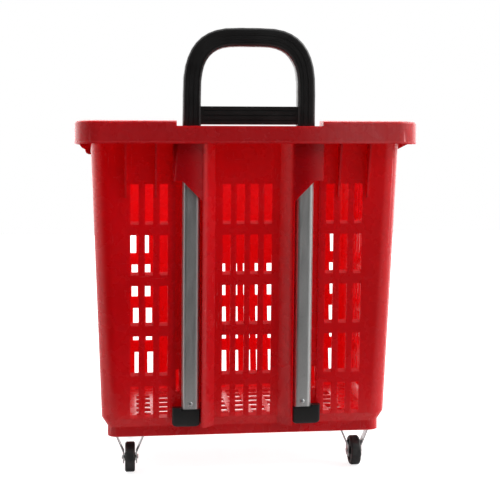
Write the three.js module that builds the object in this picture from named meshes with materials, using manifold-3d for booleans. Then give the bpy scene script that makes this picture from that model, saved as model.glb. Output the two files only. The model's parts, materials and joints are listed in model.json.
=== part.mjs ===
// Rolling shopping basket: moulded basket, telescopic pull handle, two fixed wheels and two casters.
// Millimetres, +Z up, handle wall towards -Y, origin on the floor in the middle of the footprint.
import * as THREE from 'three';
import { mergeVertices } from 'three/addons/utils/BufferGeometryUtils.js';
import Module from 'manifold-3d';

const wasm = await Module();
wasm.setup();

// ---------- driving dimensions ----------
const GAP = 0.3; // air between pieces that touch
const RIM_TOP = 454;
const RIM_HEIGHT = 28.7;
const RIM_HALF_X = 216.4;
const RIM_FRONT = 25; // how far the rim overhangs the front wall
const RIM_BACK = 15;
const RIM_CORNER = 31;
const RIM_LIP = 0.4; // the rim's lower edge stands out by this much
const WALL = 3;
const WALL_HALF_X = 198.5; // half width of the walls, at the height of the rim's top
const FRONT_Y = -150;
const BACK_Y = 160;
const SIDE_DRAFT = 0.038; // inward lean, per millimetre downwards
const FRONT_DRAFT = 0.085;
const BACK_DRAFT = 0.125;
const BODY_CORNER = 21.5;
const BASE_Z = 51.2; // lower edge of the base band
const BASE_BAND_TOP = 63.8;
const CHAMFER_TOP = 75.4;
const BASE_INSET = 7.5;
const FLOOR_Z = 61;
const FLOOR_THICK = 4;

const ROW_TOP = 375; // top edge of the highest row of slots
const ROW_PITCH = 64.4;
const ROWS = 5;
const SLOT_HEIGHT = 51;
const LOW_SLOT_HEIGHT = 41.5;
const SLOT_WIDTH = 10.2;
const SILL = 4; // the slot's lower edge slopes down towards the outside
const MIDDLE_SLOTS = [8.75, 26.3];
const OUTER_SLOTS = [105.8, 124.1, 142.4];
const BACK_SLOT_WIDTH = 9;
const BACK_SLOT_PITCH = 18.1;
const BACK_OUTER_X = 159.6; // the back's outer slots, on the fourth row
const BACK_OUTER_PITCH = 19;
const BACK_OUTER_LEAN = 0.035;
const SIDE_SLOT_PITCH = 18;
const SIDE_SLOT_START = 17; // from the middle lug to the first slot on either side
const SIDE_MIDDLE_Y = 2;
const FLOOR_HOLE = 19;
const FLOOR_PITCH = 26;
const GUSSET_XS = [116, 153.5];
const SIDE_GUSSET_YS = [60, 118];

const RAIL_X = 71.7;
const RAIL_WIDTH = 22.3;
const RAIL_DEPTH = 13;
const RAIL_WALL = 1.6;
const RAIL_BOTTOM = 88.4;
const RAIL_TOP = 439;
const CHANNEL_FLOOR = 3.5; // depths below are measured inwards from the front wall's outer face
const RAIL_BACK = 3;
const RAIL_FRONT = RAIL_BACK - RAIL_DEPTH;
const RIDGE_FRONT = -14.8;
const HOOD_BULGE = 2.6; // the hood's front is crowned by this much between its edges
const RIDGE_FOOT_X = 41;
const RIDGE_CREST_X = 55.8;
const RIDGE_TOP = RIM_TOP - 5; // the ridges and hoods end inside the rim
const CHANNEL_IN_X = 58.3;
const CHANNEL_OUT_X = 91.5;
const HOOD_INNER = -12.2;
const HOOD_OUT_X = 95;
const HOOD_BOTTOM = 379; // the end caps' ears stop here when the handle is pulled out
const HOOD_CORNER_Z = 353.5; // the hood's lower edge falls to here beside the ridge
const LATCH_Z = 124; // middle of the latch window in each channel's floor
const LATCH_HEIGHT = 28;
const LATCH_WIDTH = 4;
const LINING_TOP = RIM_TOP - 8;
const STEP_Z = 376; // the wall is a little thicker above this line
const NOTCH_HALF_X = 91;
const NOTCH_Z = 447.2;

const GRIP_TOP = 569;
const GRIP_BAR = 22.8;
const GRIP_DEPTH = 20;
const GRIP_CORNER = { width: 70.4, height: 82.7, power: 2.7 }; // outer contour, a superellipse
const GRIP_INNER_CORNER = { width: 49.4, height: 61.8, power: 3 };
const GRIP_ROUNDING = 5;
const GRIP_STEPS = 10; // straight pieces in each corner
const GRIP_LINE = 0.6; // height of the raised lines along the grip
const GRIP_LINE_INSETS = [8.6, 14.2, 19.6];
const CROSSBAR_TOP = 471.8;
const CROSSBAR_BOTTOM = 449.6;
const PLUG_LENGTH = 70;

const CAP_TOP = RAIL_BOTTOM - GAP;
const CAP_BOTTOM = 66;
const CAP_IN_X = 59;
const CAP_OUT_X = 94.9;
const EAR_TOP = 90.7;
const CAP_FRONT = RAIL_FRONT - 0.6;
const LOW_RIVET_Z = RAIL_BOTTOM + 7;
const HIGH_RIVET_Z = RAIL_TOP - 14;
const RIVET_RADIUS = 2;
const RIVET_HEAD = 3.2;
const RIVET_DOME = 1.6; // height of a rivet's head

const WHEEL_RADIUS = 19;
const WHEEL_WIDTH = 12.8;
const HUB_RADIUS = 5.2;
const HUB_WIDTH = 14.6;
const AXLE_RADIUS = 2;
const STRAP = 1.5;
const STRAP_WIDTH = 14;
const LEG_HALF_X = 9.2; // outer face of a bracket's leg
const BRACKET_HALF_X = 19.1;
const KNEE_Z = 26.2;
const LEG_END_Z = 12.2;
const WHEEL_X = 148;
const FRONT_WHEEL_Y = -86;
const BRACKET_RIVET_X = 11.5;
const CASTER_Y = 76;
const CASTER_TRAIL = 11; // the rear wheels trail behind their kingpins
const CASTER_PLATE = 1.6;
const CASTER_RIVET_X = 15; // half the distance between a caster plate's rivets
const FORK_TOP = 46;
const FORK_HALF_X = 14;
const KINGPIN = 3;
const KINGPIN_BOTTOM = 42.6;
const PAD_HALF = 22;
const PAD_Z = 50; // underside of the pads that the wheels are riveted to
const PAD_RIVET_DOME = 1.1;
const RIVET_DEPTH = 6; // how far the rivets and kingpins reach up into the pads

const RED = { color: 0xb30f17, roughness: 0.42, metalness: 0 };
const BLACK = { color: 0x17171a, roughness: 0.4, metalness: 0 };
const ALUMINIUM = { color: 0x9a9c99, roughness: 0.45, metalness: 1 };
const ZINC = { color: 0xb4b6b8, roughness: 0.35, metalness: 1 };

// ---------- where the walls stand at a height ----------
const frontY = (z) => FRONT_Y + FRONT_DRAFT * (RIM_TOP - z);
const backY = (z) => BACK_Y - BACK_DRAFT * (RIM_TOP - z);
const halfX = (z) => WALL_HALF_X - SIDE_DRAFT * (RIM_TOP - z);

// ---------- solids ----------
function solid(geometry) {
  const bare = geometry.clone();
  bare.deleteAttribute('normal');
  bare.deleteAttribute('uv');
  const merged = mergeVertices(bare, 1e-4);
  return new wasm.Manifold(new wasm.Mesh({
    numProp: 3,
    vertProperties: merged.attributes.position.array,
    triVerts: new Uint32Array(merged.index.array),
  }));
}

const join = (parts) => wasm.Manifold.union(parts);
const mirrorX = (part) => part.mirror([1, 0, 0]);
const bothSides = (part) => join([part, mirrorX(part)]);

function box(x0, x1, y0, y1, z0, z1) {
  const geometry = new THREE.BoxGeometry(x1 - x0, y1 - y0, z1 - z0);
  return solid(geometry.translate((x0 + x1) / 2, (y0 + y1) / 2, (z0 + z1) / 2));
}

function polygon(points) {
  return new THREE.Shape(points.map(([x, y]) => new THREE.Vector2(x, y)));
}

// An outline in X and Z, extruded along Y from y0 to y1.
function plateXZ(shape, y0, y1, curveSegments = 6) {
  const geometry = new THREE.ExtrudeGeometry(shape, { depth: y1 - y0, bevelEnabled: false, curveSegments });
  return solid(geometry.rotateX(Math.PI / 2).translate(0, y1, 0));
}

// An outline in Y and Z, extruded along X from x0 to x1.
function plateYZ(points, x0, x1) {
  const geometry = new THREE.ExtrudeGeometry(polygon(points), { depth: x1 - x0, bevelEnabled: false });
  geometry.rotateX(Math.PI / 2).rotateZ(Math.PI / 2);
  return solid(geometry.translate(x0, 0, 0));
}

// An outline in X and Y, extruded upwards from z0 to z1.
function plateXY(shape, z0, z1, curveSegments = 4) {
  const geometry = new THREE.ExtrudeGeometry(shape, { depth: z1 - z0, bevelEnabled: false, curveSegments });
  return solid(geometry.translate(0, 0, z0));
}

function roundedRectangle(width, height, radius) {
  const shape = new THREE.Shape();
  const x = width / 2 - radius;
  const y = height / 2 - radius;
  shape.absarc(x, y, radius, 0, Math.PI / 2);
  shape.absarc(-x, y, radius, Math.PI / 2, Math.PI);
  shape.absarc(-x, -y, radius, Math.PI, 1.5 * Math.PI);
  shape.absarc(x, -y, radius, 1.5 * Math.PI, 2 * Math.PI);
  return shape;
}

// A stack of rounded rectangles, one per level, joined by straight sides.
function stack(levels, curveSegments = 6) {
  const steps = levels.length - 1;
  const unit = roundedRectangle(20, 20, 4);
  const options = { depth: steps, steps, bevelEnabled: false, curveSegments };
  const geometry = new THREE.ExtrudeGeometry(unit, options);
  const position = geometry.attributes.position;
  for (let i = 0; i < position.count; i += 1) {
    const level = levels[Math.round(position.getZ(i))];
    const signX = Math.sign(position.getX(i));
    const signY = Math.sign(position.getY(i));
    const arcX = (position.getX(i) - 6 * signX) / 4;
    const arcY = (position.getY(i) - 6 * signY) / 4;
    const edgeY = signY < 0 ? level.front : level.back;
    const x = signX * (level.halfX - level.radius) + arcX * level.radius;
    const y = edgeY - signY * level.radius + arcY * level.radius;
    position.setXYZ(i, x, y, level.z);
  }
  return solid(geometry);
}

// Leans a part with the front or back wall: its y becomes the distance from that wall's outer face.
const onFrontWall = (part) => part.warp((v) => { v[1] += frontY(v[2]); });
const onBackWall = (part) => part.warp((v) => { v[1] += backY(v[2]); });
const onSideWall = (part) => part.warp((v) => { v[0] += halfX(v[2]); });

// ---------- basket ----------
function bodyLevel(z, inset) {
  return {
    z,
    halfX: halfX(z) - inset,
    front: frontY(z) + inset,
    back: backY(z) - inset,
    radius: BODY_CORNER - inset,
  };
}

function baseLevel(z, inset) {
  return { ...bodyLevel(CHAMFER_TOP, BASE_INSET + inset), z };
}

function rimLevel(z, inset) {
  return {
    z,
    halfX: RIM_HALF_X - inset,
    front: FRONT_Y - RIM_FRONT + inset,
    back: BACK_Y + RIM_BACK - inset,
    radius: RIM_CORNER - inset,
  };
}

function cavity() {
  const top = bodyLevel(RIM_TOP, WALL);
  return stack([
    baseLevel(FLOOR_Z + FLOOR_THICK, WALL),
    bodyLevel(CHAMFER_TOP + 1.5, WALL),
    { ...top, z: RIM_TOP + 1 },
  ]);
}

function walls() {
  const outside = stack([
    baseLevel(BASE_Z, 0),
    baseLevel(BASE_BAND_TOP, 0),
    bodyLevel(CHAMFER_TOP, 0),
    bodyLevel(RIM_TOP - 1, 0),
  ]);
  const underside = stack([baseLevel(BASE_Z - 1, WALL), baseLevel(FLOOR_Z, WALL)]);
  return outside.subtract(underside);
}

function rim() {
  const bottom = RIM_TOP - RIM_HEIGHT;
  const outside = stack([
    rimLevel(bottom, -RIM_LIP),
    rimLevel(bottom + 2.2, -RIM_LIP),
    rimLevel(bottom + 2.6, 0),
    rimLevel(RIM_TOP - 4, 0),
    rimLevel(RIM_TOP - 1.2, 1.2),
    rimLevel(RIM_TOP, 4),
  ]);
  const under = stack([rimLevel(bottom - 1, WALL), rimLevel(RIM_TOP - WALL, WALL)]);
  const notchShelf = box(-NOTCH_HALF_X - WALL, NOTCH_HALF_X + WALL, -200, -120, NOTCH_Z - WALL, RIM_TOP);
  return outside.subtract(under.subtract(notchShelf));
}

// One of the two hollow ridges beside the rails, drawn in by a wall's thickness for its hollow.
function ridgeOutline(inset) {
  return polygon([
    [RIDGE_FOOT_X + inset, WALL + 0.5],
    [RIDGE_FOOT_X + inset, 0],
    [RIDGE_CREST_X - 4.2 - 0.3 * inset, RIDGE_FRONT + 3.2 + inset],
    [RIDGE_CREST_X - 0.6 - inset, RIDGE_FRONT + 0.9 + inset],
    [RIDGE_CREST_X + 1.2 - inset, RIDGE_FRONT + inset],
    [CHANNEL_IN_X - inset, RIDGE_FRONT + inset],
    [CHANNEL_IN_X - inset, WALL + 0.5],
  ]);
}

// The hood holds the rail under the rim; its lower edge rises from the ridge to the outer side.
function hood() {
  const inner = CHANNEL_IN_X - 1;
  const outer = HOOD_OUT_X - 1;
  const steps = 8;
  const crown = [];
  for (let i = 0; i <= steps; i += 1) {
    const x = inner + (outer - inner) * i / steps;
    crown.push([x, RIDGE_FRONT + 0.6 - HOOD_BULGE * Math.sin(Math.PI * i / steps)]);
  }
  const front = [[inner, WALL], ...crown, [HOOD_OUT_X, RIDGE_FRONT + 2], [HOOD_OUT_X, WALL]];
  const shell = plateXY(polygon(front), HOOD_CORNER_Z - 10, RIDGE_TOP);
  const below = plateXZ(polygon([
    [CHANNEL_IN_X - 2, HOOD_CORNER_Z - 20],
    [HOOD_OUT_X + 2, HOOD_CORNER_Z - 20],
    [HOOD_OUT_X + 2, HOOD_BOTTOM],
    [RAIL_X + 11.5, HOOD_BOTTOM],
    [CHANNEL_IN_X, HOOD_CORNER_Z],
    [CHANNEL_IN_X - 2, HOOD_CORNER_Z],
  ]), -30, WALL + 1);
  return shell.subtract(below);
}

// The channel's floor is sunk into the wall, so the wall behind it stands into the basket.
function lining(z0, z1) {
  return plateXY(polygon([
    [CHANNEL_IN_X - WALL, 0],
    [CHANNEL_OUT_X + WALL, 0],
    [CHANNEL_OUT_X + WALL, CHANNEL_FLOOR + WALL],
    [CHANNEL_IN_X - WALL, CHANNEL_FLOOR + WALL],
  ]), z0, z1);
}

function pilaster() {
  const ridge = plateXY(ridgeOutline(0), BASE_BAND_TOP + 1, RIDGE_TOP);
  return onFrontWall(join([ridge, hood(), lining(CHAMFER_TOP - 4, LINING_TOP)]));
}

const pilasterHollow = () => onFrontWall(plateXY(ridgeOutline(2.4), CHAMFER_TOP + 2, NOTCH_Z - WALL));

function railChannel() {
  const channel = plateXY(polygon([
    [CHANNEL_IN_X, HOOD_INNER],
    [CHANNEL_OUT_X, HOOD_INNER],
    [CHANNEL_OUT_X, CHANNEL_FLOOR],
    [CHANNEL_IN_X, CHANNEL_FLOOR],
  ]), BASE_Z - 4, HOOD_BOTTOM);
  const sleeve = box(CHANNEL_IN_X, RAIL_X + 11.9, HOOD_INNER, CHANNEL_FLOOR, HOOD_BOTTOM - 1, RIM_TOP + 1);
  const latchX = CHANNEL_OUT_X - 1.5 - LATCH_WIDTH;
  const latchFoot = LATCH_Z - LATCH_HEIGHT / 2;
  const latch = box(latchX, latchX + LATCH_WIDTH, 0, 10, latchFoot, latchFoot + LATCH_HEIGHT);
  return onFrontWall(join([channel, sleeve, latch]));
}

// Thin webs that hold the rim's skirt out from the walls.
function frontGusset(x) {
  const reach = RIM_FRONT - 4;
  const foot = RIM_TOP - 96;
  const outline = [
    [1, RIM_TOP - 5],
    [-reach, RIM_TOP - 5],
    [-reach + 2, RIM_TOP - RIM_HEIGHT],
    [-3, foot],
    [1, foot],
  ];
  return onFrontWall(plateYZ(outline, x - 1.2, x + 1.2));
}

function sideGusset(y) {
  const low = RIM_TOP - RIM_HEIGHT;
  const reach = RIM_HALF_X - WALL_HALF_X - 1;
  const outline = polygon([
    [-1, low - 7],
    [1, low - 7],
    [reach, low + 1],
    [reach, RIM_TOP - 2],
    [-1, RIM_TOP - 2],
  ]);
  return onSideWall(plateXZ(outline, y - 1.3, y + 1.3));
}

function sideLug() {
  const low = RIM_TOP - RIM_HEIGHT;
  const reach = RIM_HALF_X - WALL_HALF_X - 1;
  const lug = polygon([
    [-1, low - 13],
    [7.5, low - 13],
    [10.5, low - 11.5],
    [12, low - 8.5],
    [12, low + 6],
    [-1, low + 6],
  ]);
  const shelf = polygon([
    [10, low - 6.5],
    [reach - 3, low - 4.5],
    [reach, low - 0.5],
    [reach, low + 1],
    [10, low + 1],
  ]);
  return onSideWall(join([plateXZ(lug, -9, 9), plateXZ(shelf, -60, 60)]));
}

function slotRows() {
  const rows = [];
  for (let row = 0; row < ROWS; row += 1) {
    const top = ROW_TOP - ROW_PITCH * row;
    const height = row === ROWS - 1 ? LOW_SLOT_HEIGHT : SLOT_HEIGHT;
    rows.push({ row, top, bottom: top - height });
  }
  return rows;
}

// A slot's outline across the wall: outer face at 0, inner face at +WALL.
function slotOutline({ top, bottom }) {
  return [
    [-2, top],
    [-2, bottom - SILL * 0.5],
    [0, bottom],
    [WALL, bottom + SILL],
    [9, bottom + SILL],
    [9, top],
  ];
}

const bothWays = (xs) => [...xs, ...xs.map((x) => -x)];

function frontSlots() {
  const columns = bothWays([...MIDDLE_SLOTS, ...OUTER_SLOTS]);
  const slots = slotRows().flatMap((row) => columns.map(
    (x) => plateYZ(slotOutline(row), x - SLOT_WIDTH / 2, x + SLOT_WIDTH / 2),
  ));
  return onFrontWall(join(slots));
}

// The back has no slots in its highest row, and only the outer ones in the row below.
function backColumns({ row, top }) {
  const columns = [];
  for (let i = 0; row > 0 && i < 3; i += 1) {
    columns.push(BACK_OUTER_X - BACK_OUTER_PITCH * i + BACK_OUTER_LEAN * (top - 221));
  }
  for (let i = 0; row > 1 && i < 4; i += 1) {
    columns.push(BACK_SLOT_PITCH * (i + 0.5));
  }
  return bothWays(columns);
}

function backSlots() {
  const slots = slotRows().flatMap((row) => {
    const outline = slotOutline(row).map(([y, z]) => [-y, z]);
    return backColumns(row).map((x) => plateYZ(outline, x - BACK_SLOT_WIDTH / 2, x + BACK_SLOT_WIDTH / 2));
  });
  return onBackWall(join(slots));
}

function sideSlots() {
  const slots = [];
  for (const row of slotRows()) {
    const outline = polygon(slotOutline(row).map(([x, z]) => [-x, z]));
    for (let i = 0; i < 5; i += 1) {
      for (const offset of bothWays([SIDE_SLOT_START + SIDE_SLOT_PITCH * i])) {
        const y = SIDE_MIDDLE_Y + offset;
        slots.push(plateXZ(outline, y - SLOT_WIDTH / 2, y + SLOT_WIDTH / 2));
      }
    }
  }
  return bothSides(onSideWall(join(slots)));
}

// The floor is a grid, left solid at the four corners where the wheels are fixed.
function floorHoles() {
  const holes = [];
  const half = FLOOR_HOLE / 2;
  for (let column = -5; column <= 5; column += 1) {
    for (let row = -3; row <= 3; row += 1) {
      const atPad = Math.abs(column) > 4 && Math.abs(row) > 2;
      if (atPad) continue;
      const x = column * FLOOR_PITCH;
      const y = row * FLOOR_PITCH - 4;
      holes.push(box(x - half, x + half, y - half, y + half, FLOOR_Z - 1, FLOOR_Z + FLOOR_THICK + 1));
    }
  }
  return join(holes);
}

function wheelPads() {
  const halfY = PAD_HALF - 4;
  const pads = [FRONT_WHEEL_Y, CASTER_Y].map(
    (y) => box(WHEEL_X - PAD_HALF, WHEEL_X + PAD_HALF, y - halfY, y + halfY, PAD_Z, FLOOR_Z + 1),
  );
  return bothSides(join(pads));
}

// Upright holes in the pads for the rivets and the kingpins.
function fastenerHoles() {
  const top = PAD_Z + RIVET_DEPTH + 1;
  const holes = [upright(KINGPIN + GAP, PAD_Z - 1, top, WHEEL_X, CASTER_Y)];
  for (const sign of [-1, 1]) {
    const hole = RIVET_RADIUS + GAP;
    holes.push(upright(hole, PAD_Z - 1, top, WHEEL_X + sign * CASTER_RIVET_X, CASTER_Y, 12));
    holes.push(upright(hole, PAD_Z - 1, top, WHEEL_X + sign * BRACKET_RIVET_X, FRONT_WHEEL_Y, 12));
  }
  return bothSides(join(holes));
}

function basketBody() {
  const gussets = bothWays(GUSSET_XS).map(frontGusset);
  const ribs = bothSides(join([sideLug(), ...bothWays(SIDE_GUSSET_YS).map(sideGusset)]));
  const step = onFrontWall(box(-165, 165, -0.6, 1, STEP_Z, RIDGE_TOP));
  const notch = box(-NOTCH_HALF_X, NOTCH_HALF_X, -200, -120, NOTCH_Z, RIM_TOP + 1);
  const outside = join([walls(), rim(), bothSides(pilaster()), ribs, step, ...gussets, wheelPads()]);
  const inside = cavity().subtract(bothSides(onFrontWall(lining(FLOOR_Z, LINING_TOP))));
  const channels = bothSides(join([pilasterHollow(), railChannel()]));
  const openings = join([notch, frontSlots(), backSlots(), sideSlots(), floorHoles(), fastenerHoles()]);
  return outside.subtract(inside).subtract(channels).subtract(openings);
}

// ---------- telescopic handle ----------
// The grip's contour at a distance inside its outer edge: up one leg, over the top, down the other.
function gripContour(inset) {
  const share = inset / GRIP_BAR;
  const blend = (key) => THREE.MathUtils.lerp(GRIP_CORNER[key], GRIP_INNER_CORNER[key], share);
  const width = blend('width');
  const height = blend('height');
  const bend = 2 / blend('power');
  const half = RAIL_X + GRIP_BAR / 2 - inset;
  const top = GRIP_TOP - inset;
  const corner = [];
  for (let i = 0; i <= GRIP_STEPS; i += 1) {
    const angle = Math.PI / 2 * i / GRIP_STEPS;
    const x = half - width + width * Math.cos(angle) ** bend;
    corner.push([x, top - height + height * Math.sin(angle) ** bend]);
  }
  const right = [[half, NOTCH_Z - 10], ...corner];
  const left = right.map(([x, z]) => [-x, z]).reverse();
  return [...right, ...left];
}

const gripBand = (outer, inner) => polygon([...gripContour(outer), ...gripContour(inner).reverse()]);

// The rail's bore, or with a clearance the plug that fits into it.
function railBore(clearance) {
  const thick = 2 * (RAIL_WALL + clearance);
  return roundedRectangle(RAIL_WIDTH - thick, RAIL_DEPTH - thick, 1.5);
}

// Parts of the handle are drawn upright around the rail's middle plane, then leaned with the wall.
const onRail = (part) => onFrontWall(part.translate([0, (RAIL_BACK + RAIL_FRONT) / 2, 0]));

function handleGrip() {
  const round = GRIP_ROUNDING;
  const loopGeometry = new THREE.ExtrudeGeometry(gripBand(0, GRIP_BAR), {
    depth: GRIP_DEPTH - 2 * round,
    bevelThickness: round,
    bevelSize: round,
    bevelOffset: -round,
    bevelSegments: 3,
  });
  loopGeometry.rotateX(Math.PI / 2).translate(0, GRIP_DEPTH / 2 - round, 0);
  const legEnds = box(-200, 200, -50, 50, NOTCH_Z - 50, NOTCH_Z + GAP);
  const loop = solid(loopGeometry).subtract(legEnds);
  const reach = GRIP_DEPTH / 2 + GRIP_LINE;
  const lines = GRIP_LINE_INSETS.map(
    (inset) => plateXZ(gripBand(inset - 0.6, inset + 0.6), -reach, reach).subtract(legEnds),
  );
  const legs = [-RAIL_X, RAIL_X].map((x) => join([
    plateXY(railBore(GAP), RAIL_TOP - PLUG_LENGTH, RAIL_TOP + 2).translate([x, 0, 0]),
    plateXY(roundedRectangle(RAIL_WIDTH, RAIL_DEPTH, 3), RAIL_TOP + GAP, NOTCH_Z + 6).translate([x, 0, 0]),
  ]));
  const grip = join([loop, ...lines, crossbar(), ...legs]);
  return onRail(grip).subtract(join(rivetHoles(HIGH_RIVET_Z)));
}

// The lower bar of the grip, with fine grooves along both faces.
function crossbar() {
  const inside = RAIL_X - 2;
  const face = 7.5;
  const reach = RAIL_X - GRIP_BAR / 2 - 3;
  const grooves = [];
  for (let z = CROSSBAR_BOTTOM + 4.5; z < CROSSBAR_TOP - 2; z += 6) {
    grooves.push(box(-reach, reach, -face - 1, 0.8 - face, z, z + 1.2));
    grooves.push(box(-reach, reach, face - 0.8, face + 1, z, z + 1.2));
  }
  return box(-inside, inside, -face, face, CROSSBAR_BOTTOM, CROSSBAR_TOP).subtract(join(grooves));
}

function rivetHoles(z) {
  const geometry = new THREE.CylinderGeometry(RIVET_RADIUS + GAP, RIVET_RADIUS + GAP, 40, 12);
  return [-RAIL_X, RAIL_X].map((x) => solid(geometry.clone().translate(x, frontY(z), z)));
}

// A rivet's domed head along +Y, standing on the XZ plane.
function dome(radius, height) {
  const profile = [[0, 0], [1, 0], [0.93, 0.4], [0.7, 0.72], [0.37, 0.93], [0, 1]];
  const points = profile.map(([r, y]) => new THREE.Vector2(r * radius, y * height));
  return new THREE.LatheGeometry(points, 16);
}

function rivet(x, z) {
  const length = RAIL_DEPTH - 1;
  const front = frontY(z) + RAIL_FRONT - GAP;
  const shank = new THREE.CylinderGeometry(RIVET_RADIUS, RIVET_RADIUS, length, 12);
  const head = dome(RIVET_HEAD, RIVET_DOME).rotateX(Math.PI);
  return join([
    solid(shank.translate(x, front + length / 2 - 0.5, z)),
    solid(head.translate(x, front, z)),
  ]);
}

function rail(x) {
  const outside = plateXY(roundedRectangle(RAIL_WIDTH, RAIL_DEPTH, 3), RAIL_BOTTOM, RAIL_TOP, 3);
  const inside = plateXY(railBore(0), RAIL_BOTTOM - 1, RAIL_TOP + 1, 2);
  const tube = onRail(outside.subtract(inside).translate([x, 0, 0]));
  return tube.subtract(join([...rivetHoles(LOW_RIVET_Z), ...rivetHoles(HIGH_RIVET_Z)]));
}

function endCap() {
  const shoe = stackAt(CAP_IN_X, CAP_OUT_X, CAP_FRONT, -0.5, [
    [CAP_BOTTOM, 4],
    [CAP_BOTTOM + 1.5, 1.5],
    [CAP_BOTTOM + 4.5, 0],
    [CAP_TOP, 0],
  ]);
  const heel = box(CAP_IN_X + 1.5, CHANNEL_OUT_X - 0.7, -4, RAIL_BACK, CAP_BOTTOM + 3, CAP_TOP);
  const earLevels = [[CAP_TOP - 2, 0], [EAR_TOP, 0]];
  const ear = stackAt(RAIL_X + RAIL_WIDTH / 2 + 0.4, CAP_OUT_X, CAP_FRONT, -0.5, earLevels);
  const stem = plateXY(railBore(GAP), CAP_TOP - 2, RAIL_BOTTOM + 18);
  const railMiddle = [RAIL_X, (RAIL_BACK + RAIL_FRONT) / 2, 0];
  const cap = join([shoe, heel, ear, stem.translate(railMiddle)]);
  return onFrontWall(cap).subtract(join(rivetHoles(LOW_RIVET_Z)));
}

// A block with rounded corners, drawn in by the second number at each level.
function stackAt(x0, x1, y0, y1, levels) {
  const blocks = levels.map(([z, inset]) => ({
    z,
    halfX: (x1 - x0) / 2 - inset,
    front: y0 + inset * 0.6,
    back: y1 - inset * 0.3,
    radius: 2.5,
  }));
  return stack(blocks, 3).translate([(x0 + x1) / 2, 0, 0]);
}

// ---------- wheels ----------
function alongX(points, segments) {
  const profile = points.map(([r, x]) => new THREE.Vector2(r, x));
  return solid(new THREE.LatheGeometry(profile, segments).rotateZ(-Math.PI / 2));
}

function wheel() {
  const tread = WHEEL_WIDTH / 2;
  const hub = HUB_WIDTH / 2;
  const bore = AXLE_RADIUS + 0.1;
  return alongX([
    [bore, -hub],
    [HUB_RADIUS, -hub],
    [HUB_RADIUS, -tread + 2],
    [WHEEL_RADIUS - 5, -tread + 2],
    [WHEEL_RADIUS - 5, -tread],
    [WHEEL_RADIUS - 1.6, -tread],
    [WHEEL_RADIUS, -tread + 1.6],
    [WHEEL_RADIUS, tread - 1.6],
    [WHEEL_RADIUS - 1.6, tread],
    [WHEEL_RADIUS - 5, tread],
    [WHEEL_RADIUS - 5, tread - 2],
    [HUB_RADIUS, tread - 2],
    [HUB_RADIUS, hub],
    [bore, hub],
    [bore, -hub],
  ], 24);
}

function axle() {
  const head = LEG_HALF_X + GAP;
  return alongX([
    [0, -head - 1.2],
    [2.4, -head - 1.2],
    [3.2, -head],
    [AXLE_RADIUS, -head],
    [AXLE_RADIUS, head],
    [3.2, head],
    [2.4, head + 1.2],
    [0, head + 1.2],
  ], 16);
}

// A flat strap bent down on both sides, with its legs drawn in towards the wheel.
function strapOutline(top, halfTop) {
  return polygon([
    [-halfTop, top],
    [-LEG_HALF_X, KNEE_Z],
    [-LEG_HALF_X, LEG_END_Z],
    [-LEG_HALF_X + STRAP, LEG_END_Z],
    [-LEG_HALF_X + STRAP, KNEE_Z],
    [-halfTop + STRAP * 1.2, top - STRAP],
    [halfTop - STRAP * 1.2, top - STRAP],
    [LEG_HALF_X - STRAP, KNEE_Z],
    [LEG_HALF_X - STRAP, LEG_END_Z],
    [LEG_HALF_X, LEG_END_Z],
    [LEG_HALF_X, KNEE_Z],
    [halfTop, top],
  ]);
}

function axleHole(y) {
  return solid(new THREE.CylinderGeometry(AXLE_RADIUS + GAP, AXLE_RADIUS + GAP, 60, 16)
    .rotateZ(Math.PI / 2).translate(0, y, WHEEL_RADIUS));
}

function upright(radius, z0, z1, x = 0, y = 0, segments = 16) {
  const geometry = new THREE.CylinderGeometry(radius, radius, z1 - z0, segments);
  return solid(geometry.rotateX(Math.PI / 2).translate(x, y, (z0 + z1) / 2));
}

function fixedBracket() {
  const top = PAD_Z - GAP;
  const strap = plateXZ(strapOutline(top, BRACKET_HALF_X), -STRAP_WIDTH / 2, STRAP_WIDTH / 2);
  const holes = bothWays([BRACKET_RIVET_X]).map((x) => upright(RIVET_RADIUS + GAP, top - 5, top + 5, x));
  return strap.subtract(join([axleHole(0), ...holes]));
}

// A rivet up into a pad, with its head hanging below height z.
function padRivet(x, y, z) {
  const shank = upright(RIVET_RADIUS, z - GAP - 0.6, PAD_Z + RIVET_DEPTH, x, y, 12);
  const head = solid(dome(RIVET_HEAD - 0.2, PAD_RIVET_DOME).rotateX(-Math.PI / 2).translate(x, y, z - GAP));
  return join([shank, head]);
}

function casterPlate() {
  const top = PAD_Z - GAP;
  const plate = plateXY(roundedRectangle(40, 30, 4), top - CASTER_PLATE, top);
  const holes = bothWays([CASTER_RIVET_X]).map((x) => upright(RIVET_RADIUS + GAP, top - 5, top + 5, x));
  return plate.subtract(join([...holes, upright(KINGPIN + GAP, top - 5, top + 5)]));
}

function casterFork() {
  const arm = plateXZ(strapOutline(FORK_TOP, FORK_HALF_X), CASTER_TRAIL - 6, CASTER_TRAIL + 6);
  const crown = plateXY(roundedRectangle(2 * FORK_HALF_X - 2, 26, 4), FORK_TOP - STRAP, FORK_TOP);
  const pinHole = upright(KINGPIN + GAP, FORK_TOP - 5, FORK_TOP + 5);
  const fork = join([arm, crown.translate([0, 4, 0])]);
  return fork.subtract(join([axleHole(CASTER_TRAIL), pinHole]));
}

// A pin with a head under the fork and a washer between the fork and its plate.
function kingpin() {
  return join([
    upright(KINGPIN, KINGPIN_BOTTOM, PAD_Z + RIVET_DEPTH),
    upright(KINGPIN + 2, KINGPIN_BOTTOM, FORK_TOP - STRAP - GAP),
    upright(KINGPIN + 2, FORK_TOP + GAP, PAD_Z - 2 * GAP - CASTER_PLATE),
  ]);
}

// ---------- meshes ----------
function mesh(name, part, finish) {
  const data = part.getMesh();
  const geometry = new THREE.BufferGeometry();
  geometry.setAttribute('position', new THREE.BufferAttribute(new Float32Array(data.vertProperties), 3));
  geometry.setIndex(new THREE.BufferAttribute(new Uint32Array(data.triVerts), 1));
  const result = new THREE.Mesh(geometry, new THREE.MeshStandardMaterial(finish));
  result.name = name;
  return result;
}

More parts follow.
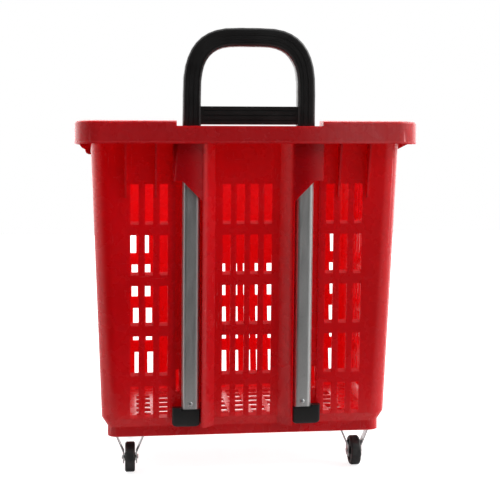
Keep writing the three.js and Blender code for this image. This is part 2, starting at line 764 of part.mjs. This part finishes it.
function addHandleSide(basket, side, sign) {
  const x = sign * RAIL_X;
  basket.add(mesh(`${side}_rail`, rail(x), ALUMINIUM));
  basket.add(mesh(`${side}_end_cap`, sign < 0 ? mirrorX(endCap()) : endCap(), BLACK));
  basket.add(mesh(`${side}_rail_lower_rivet`, rivet(x, LOW_RIVET_Z), ZINC));
  basket.add(mesh(`${side}_rail_upper_rivet`, rivet(x, HIGH_RIVET_Z), ZINC));
}

function addFrontWheel(basket, side, sign) {
  const x = sign * WHEEL_X;
  const place = (part, z) => part.translate([x, FRONT_WHEEL_Y, z]);
  basket.add(mesh(`front_${side}_bracket`, place(fixedBracket(), 0), ZINC));
  basket.add(mesh(`front_${side}_wheel`, place(wheel(), WHEEL_RADIUS), BLACK));
  basket.add(mesh(`front_${side}_axle`, place(axle(), WHEEL_RADIUS), ZINC));
  for (const [end, way] of [['inner', -sign], ['outer', sign]]) {
    const rivetX = x + way * BRACKET_RIVET_X;
    const head = PAD_Z - GAP - STRAP;
    basket.add(mesh(`front_${side}_${end}_rivet`, padRivet(rivetX, FRONT_WHEEL_Y, head), ZINC));
  }
}

function addRearCaster(basket, side, sign) {
  const x = sign * WHEEL_X;
  const place = (part, trail, z) => part.translate([x, CASTER_Y + trail, z]);
  basket.add(mesh(`rear_${side}_caster_plate`, place(casterPlate(), 0, 0), ZINC));
  basket.add(mesh(`rear_${side}_kingpin`, place(kingpin(), 0, 0), ZINC));
  basket.add(mesh(`rear_${side}_fork`, place(casterFork(), 0, 0), ZINC));
  basket.add(mesh(`rear_${side}_wheel`, place(wheel(), CASTER_TRAIL, WHEEL_RADIUS), BLACK));
  basket.add(mesh(`rear_${side}_axle`, place(axle(), CASTER_TRAIL, WHEEL_RADIUS), ZINC));
  for (const [end, way] of [['inner', -sign], ['outer', sign]]) {
    const rivetX = x + way * CASTER_RIVET_X;
    const head = PAD_Z - GAP - CASTER_PLATE;
    basket.add(mesh(`rear_${side}_${end}_rivet`, padRivet(rivetX, CASTER_Y, head), ZINC));
  }
}

const basket = new THREE.Group();
basket.add(mesh('basket_body', basketBody(), RED));
basket.add(mesh('handle_grip', handleGrip(), BLACK));
for (const [side, sign] of [['left', -1], ['right', 1]]) {
  addHandleSide(basket, side, sign);
  addFrontWheel(basket, side, sign);
  addRearCaster(basket, side, sign);
}

export default basket;
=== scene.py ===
"""Rolling shopping basket: materials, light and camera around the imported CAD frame."""

import json
import math

import bpy
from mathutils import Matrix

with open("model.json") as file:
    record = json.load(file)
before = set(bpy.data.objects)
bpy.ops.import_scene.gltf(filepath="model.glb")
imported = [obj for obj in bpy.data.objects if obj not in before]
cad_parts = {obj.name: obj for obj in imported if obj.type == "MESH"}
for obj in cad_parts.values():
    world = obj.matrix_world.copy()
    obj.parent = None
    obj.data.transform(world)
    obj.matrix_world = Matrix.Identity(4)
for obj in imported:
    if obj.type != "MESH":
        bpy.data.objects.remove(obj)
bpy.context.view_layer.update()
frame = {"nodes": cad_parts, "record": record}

NODES = frame["nodes"]
SENSOR = 36.0
LENS = 75.78
SHIFT_X = 0.0066
SHIFT_Y = -0.1902
CAMERA_PLACE = (-0.1457, -1.4643, 0.4115)
CAMERA_TURN = -0.1087
FLOOR_SIDE = 3.0
FLOOR_FRONT = 0.3
FLOOR_BACK = 4.0
OPENING_DIRECTION = (-0.30, -0.95, -0.10)
KEY_DIRECTION = (0.82, -0.18, 0.54)
FRONT_LIGHT = 0.58
BACK_LIGHT = 2.4
KEY_LIGHT = 3.4
WELD_REACH = 0.00001
FLAT_ANGLE = 0.5
SHARP_ANGLE = 28.0
RIM_FOOT = 0.4255
RAIL_X = 0.07175  # from the middle of the basket to the middle of each rail
RAIL_FLAT = 0.0055  # half the width of a rail's flat face
SHOULDER_CURVE = 75.0


# ---------- node helpers ----------
class Shader:
    """A small wrapper that keeps a material's node code readable."""

    def __init__(self, name):
        self.material = bpy.data.materials.new(name)
        self.material.use_nodes = True
        self.tree = self.material.node_tree
        self.surface = self.tree.nodes["Principled BSDF"]
        self.place = self.tree.nodes.new("ShaderNodeTexCoord").outputs["Object"]
        split = self.node("ShaderNodeSeparateXYZ", {"Vector": self.place})
        self.x, self.y, self.z = split.outputs

    def node(self, kind, inputs=None, **settings):
        made = self.tree.nodes.new(kind)
        for key, value in settings.items():
            setattr(made, key, value)
        for key, value in (inputs or {}).items():
            self.feed(made.inputs[key], value)
        return made

    def feed(self, socket, value):
        if isinstance(value, bpy.types.NodeSocket):
            self.tree.links.new(value, socket)
        else:
            socket.default_value = value

    def set(self, **values):
        for key, value in values.items():
            self.feed(self.surface.inputs[key.replace("_", " ")], value)

    def stretched(self, x, y, z):
        scaled = self.node("ShaderNodeMapping", {"Vector": self.place, "Scale": (x, y, z)})
        return scaled.outputs["Vector"]

    def noise(self, scale, detail=3.0, roughness=0.5, place=None):
        inputs = {"Vector": place or self.place, "Scale": scale, "Detail": detail, "Roughness": roughness}
        return self.node("ShaderNodeTexNoise", inputs).outputs["Fac"]

    def spread(self, value, low, high, to_low=0.0, to_high=1.0):
        inputs = {"Value": value, "From Min": low, "From Max": high, "To Min": to_low, "To Max": to_high}
        return self.node("ShaderNodeMapRange", inputs).outputs["Result"]

    def mix(self, factor, first, second):
        made = self.node("ShaderNodeMix", data_type="RGBA")
        self.feed(made.inputs[0], factor)
        self.feed(made.inputs[6], first)
        self.feed(made.inputs[7], second)
        return made.outputs[2]

    def math(self, operation, a, b=0.0):
        made = self.node("ShaderNodeMath", operation=operation)
        self.feed(made.inputs[0], a)
        self.feed(made.inputs[1], b)
        return made.outputs[0]

    def bump(self, height, distance, strength=1.0, normal=None):
        inputs = {"Height": height, "Distance": distance, "Strength": strength}
        if normal:
            inputs["Normal"] = normal
        return self.node("ShaderNodeBump", inputs).outputs["Normal"]


def colour(r, g, b):
    return (r, g, b, 1.0)


# ---------- materials ----------
def red_plastic():
    s = Shader("red_polypropylene")
    cloud = s.noise(6.0, 4.0)
    base = s.mix(s.spread(cloud, 0.35, 0.65), colour(0.68, 0.003, 0.008), colour(0.76, 0.004, 0.011))
    scratch_a = s.noise(1.0, 6.0, 0.7, s.stretched(40, 40, 900))
    scratch_b = s.noise(1.0, 6.0, 0.7, s.stretched(700, 60, 50))
    scuffs = s.math("MULTIPLY", s.spread(scratch_a, 0.62, 0.72), s.spread(s.noise(14.0, 2.0), 0.5, 0.62))
    rubs = s.math("MULTIPLY", s.spread(scratch_b, 0.6, 0.7), s.spread(s.noise(9.0, 2.0), 0.52, 0.64))
    wear = s.math("MAXIMUM", scuffs, rubs)
    marked_colour = s.mix(s.math("MULTIPLY", wear, 0.35), base, colour(0.72, 0.22, 0.23))
    # Painted sheen: a paler, lighter red band along the front edge of the rim towards the right, broken
    # into scuff-like streaks
    streaks = s.spread(s.noise(1.0, 5.0, 0.6, s.stretched(260, 60, 30)), 0.3, 0.7, 0.6, 1.0)
    right_rim_sheen_band = s.math("MULTIPLY", s.spread(s.x, 0.06, 0.13, 0.14, 0.75), s.spread(s.x, 0.17, 0.215, 1.0, 0.4))
    on_rim = s.math("MULTIPLY", s.spread(s.z, RIM_FOOT, RIM_FOOT + 0.001), s.spread(s.y, -0.150, -0.152))
    rim_sheen_and_scuffs = s.math("MULTIPLY", s.math("MULTIPLY", right_rim_sheen_band, streaks), on_rim)
    # mixes the painted rim sheen and its scuff streaks into the colour
    marked_colour = s.mix(rim_sheen_and_scuffs, marked_colour, colour(0.95, 0.14, 0.15))
    grain = s.noise(900.0, 2.0)
    ripple = s.noise(28.0, 2.0)
    normal = s.bump(ripple, 0.0004, 0.5)
    normal = s.bump(grain, 0.00004, 0.6, normal)
    rough = s.math("ADD", s.spread(s.noise(50.0, 5.0), 0.3, 0.7, 0.23, 0.31), s.math("MULTIPLY", wear, 0.2))
    s.set(Base_Color=marked_colour, Roughness=rough, Normal=normal)
    s.set(IOR=1.49, Subsurface_Weight=0.6, Subsurface_Radius=(1.0, 0.08, 0.08), Subsurface_Scale=0.012)
    return s.material


def black_plastic():
    s = Shader("black_moulded_plastic")
    mottle = s.spread(s.noise(18.0, 4.0), 0.3, 0.7)
    lower_black = s.mix(mottle, colour(0.005, 0.005, 0.005), colour(0.010, 0.010, 0.010))
    upper_black = s.mix(mottle, colour(0.015, 0.014, 0.014), colour(0.027, 0.026, 0.026))
    # darker black towards the bottom, lighter black towards the top
    base = s.mix(s.spread(s.z, 0.12, 0.36), lower_black, upper_black)
    lint = s.spread(s.noise(420.0, 2.0), 0.74, 0.8, 0.0, 0.4)
    marked_colour = s.mix(lint, base, colour(0.10, 0.10, 0.10))
    normal = s.bump(s.noise(1400.0, 2.0), 0.00003, 0.8)
    rough = s.spread(s.noise(60.0, 5.0), 0.3, 0.7, 0.27, 0.42)
    s.set(Base_Color=marked_colour, Roughness=rough, Normal=normal)
    return s.material


def wheel_plastic():
    s = Shader("black_wheel_plastic")
    grey = s.spread(s.noise(90.0, 4.0), 0.4, 0.7)
    base = s.mix(grey, colour(0.012, 0.012, 0.013), colour(0.045, 0.043, 0.042))
    normal = s.bump(s.noise(700.0, 4.0), 0.0001, 0.7)
    rough = s.spread(s.noise(120.0, 4.0), 0.3, 0.7, 0.42, 0.62)
    s.set(Base_Color=base, Roughness=rough, Normal=normal)
    return s.material


def aluminium():
    s = Shader("drawn_aluminium")
    lines = s.noise(1.0, 6.0, 0.65, s.stretched(2600, 2600, 9))
    broad = s.noise(1.0, 3.0, 0.5, s.stretched(300, 300, 5))
    base = s.mix(s.spread(lines, 0.3, 0.7), colour(0.66, 0.67, 0.66), colour(0.78, 0.79, 0.78))
    grime = s.spread(s.noise(60.0, 5.0), 0.62, 0.8, 0.0, 0.35)
    base = s.mix(grime, base, colour(0.36, 0.36, 0.35))
    from_middle = s.math("ABSOLUTE", s.math("SUBTRACT", s.math("ABSOLUTE", s.x), RAIL_X))
    past_flat = s.math("MAXIMUM", s.math("SUBTRACT", from_middle, RAIL_FLAT), 0.0)
    shoulder = s.math("MULTIPLY", s.math("POWER", past_flat, 2.0), -SHOULDER_CURVE)
    normal = s.bump(shoulder, 1.0)
    normal = s.bump(lines, 0.00003, 0.5, normal)
    rough = s.math("ADD", s.spread(broad, 0.3, 0.7, 0.42, 0.52), s.math("MULTIPLY", grime, 0.3))
    s.set(Base_Color=base, Roughness=rough, Normal=normal, Metallic=1.0)
    return s.material


def zinc():
    s = Shader("zinc_plated_steel")
    spangle = s.noise(260.0, 3.0)
    base = s.mix(s.spread(spangle, 0.35, 0.65), colour(0.52, 0.53, 0.55), colour(0.70, 0.70, 0.69))
    stain = s.spread(s.noise(120.0, 5.0), 0.6, 0.75, 0.0, 0.5)
    base = s.mix(stain, base, colour(0.34, 0.33, 0.31))
    normal = s.bump(s.noise(500.0, 4.0), 0.00006, 0.6)
    rough = s.spread(s.noise(180.0, 4.0), 0.3, 0.7, 0.24, 0.45)
    s.set(Base_Color=base, Roughness=rough, Normal=normal, Metallic=1.0)
    return s.material


FINISH = {
    "red_plastic": red_plastic(),
    "black_plastic": black_plastic(),
    "black_wheel": wheel_plastic(),
    "aluminium": aluminium(),
    "zinc": zinc(),
}
SLOT_OF = {entry["node"]: entry["material_slot"] for entry in frame["record"]["subparts"]}


# ---------- CAD nodes: clean faces, rounded edges ----------
def soften(obj, width):
    """Merges the triangulated flats, rounds the sharp edges and lets the large faces set the shading."""
    weld = obj.modifiers.new("weld", "WELD")
    weld.merge_threshold = WELD_REACH
    flats = obj.modifiers.new("flats", "DECIMATE")
    flats.decimate_type = "DISSOLVE"
    flats.angle_limit = math.radians(FLAT_ANGLE)
    bevel = obj.modifiers.new("bevel", "BEVEL")
    bevel.width = width
    bevel.segments = 2
    bevel.limit_method = "ANGLE"
    bevel.angle_limit = math.radians(SHARP_ANGLE)
    normals = obj.modifiers.new("normals", "WEIGHTED_NORMAL")
    normals.mode = "FACE_AREA"
    normals.weight = 100


EDGE_WIDTH = {
    "red_plastic": 0.0004,
    "black_plastic": 0.0002,
    "black_wheel": 0.0004,
    "aluminium": 0.0003,
    "zinc": 0.00025,
}
for name, obj in NODES.items():
    slot = SLOT_OF[name]
    obj.data.materials.clear()
    obj.data.materials.append(FINISH[slot])
    soften(obj, EDGE_WIDTH[slot])


# ---------- floor, light and camera ----------
def make_floor():
    """A pale floor that glows for the camera and hardly lights the basket."""
    s = Shader("pale_floor")
    tone = s.mix(s.spread(s.noise(3.0, 3.0), 0.3, 0.7), colour(0.46, 0.46, 0.46), colour(0.50, 0.50, 0.50))
    seen = s.node("ShaderNodeLightPath").outputs["Is Camera Ray"]
    glow = s.spread(seen, 0.0, 1.0, 0.05, 0.8)
    s.set(Base_Color=tone, Roughness=0.8, Emission_Color=colour(1, 1, 1), Emission_Strength=glow)
    mesh = bpy.data.meshes.new("floor")
    corners = [(-FLOOR_SIDE, -FLOOR_FRONT, 0), (FLOOR_SIDE, -FLOOR_FRONT, 0)]
    corners += [(FLOOR_SIDE, FLOOR_BACK, 0), (-FLOOR_SIDE, FLOOR_BACK, 0)]
    mesh.from_pydata(corners, [], [(0, 1, 2, 3)])
    mesh.materials.append(s.material)
    floor = bpy.data.objects.new("floor", mesh)
    bpy.context.scene.collection.objects.link(floor)


class World:
    """Node helper for the world: every method returns an output socket."""

    def __init__(self, name):
        self.world = bpy.data.worlds.new(name)
        self.world.use_nodes = True
        self.tree = self.world.node_tree
        self.background = self.tree.nodes["Background"]
        split = self.tree.nodes.new("ShaderNodeSeparateXYZ")
        self.direction = self.tree.nodes.new("ShaderNodeTexCoord").outputs["Generated"]
        self.tree.links.new(self.direction, split.inputs[0])
        self.y = split.outputs["Y"]

    def feed(self, socket, value):
        if isinstance(value, bpy.types.NodeSocket):
            self.tree.links.new(value, socket)
        else:
            socket.default_value = value

    def ramp(self, value, low, high, to_low, to_high):
        made = self.tree.nodes.new("ShaderNodeMapRange")
        made.interpolation_type = "SMOOTHSTEP"
        for socket, number in zip(made.inputs, (value, low, high, to_low, to_high)):
            self.feed(socket, number)
        return made.outputs["Result"]

    def dot(self, axis):
        made = self.tree.nodes.new("ShaderNodeVectorMath")
        made.operation = "DOT_PRODUCT"
        self.feed(made.inputs[0], self.direction)
        self.feed(made.inputs[1], axis)
        return made.outputs["Value"]

    def add(self, a, b):
        made = self.tree.nodes.new("ShaderNodeMath")
        self.feed(made.inputs[0], a)
        self.feed(made.inputs[1], b)
        return made.outputs[0]

    def choose(self, factor, a, b):
        made = self.tree.nodes.new("ShaderNodeMix")
        self.feed(made.inputs[0], factor)
        self.feed(made.inputs[2], a)
        self.feed(made.inputs[3], b)
        return made.outputs[0]


def make_world():
    """A white tent, brighter behind, dark towards the camera, with one soft key light from the right."""
    w = World("tent")
    opening = w.dot(OPENING_DIRECTION)
    in_front = w.ramp(opening, 0.45, 0.92, FRONT_LIGHT, 0.01)
    tent = w.choose(w.ramp(w.y, 0.0, 0.4, 0.0, 1.0), in_front, BACK_LIGHT)
    key = w.ramp(w.dot(KEY_DIRECTION), 0.86, 0.97, 0.0, KEY_LIGHT)
    light = w.add(tent, key)
    seen = w.tree.nodes.new("ShaderNodeLightPath").outputs["Is Camera Ray"]
    w.feed(w.background.inputs["Color"], colour(1.0, 1.0, 1.0))
    w.feed(w.background.inputs["Strength"], w.choose(seen, light, 1.0))
    bpy.context.scene.world = w.world


def make_camera():
    camera = bpy.data.objects.new("camera", bpy.data.cameras.new("camera"))
    bpy.context.scene.collection.objects.link(camera)
    camera.location = CAMERA_PLACE
    camera.rotation_euler = (math.radians(90.0), 0.0, CAMERA_TURN)
    camera.data.sensor_width = SENSOR
    camera.data.lens = LENS
    camera.data.shift_x = SHIFT_X
    camera.data.shift_y = SHIFT_Y
    bpy.context.scene.camera = camera


make_floor()
make_world()
make_camera()
bpy.context.scene.view_settings.view_transform = "Standard"
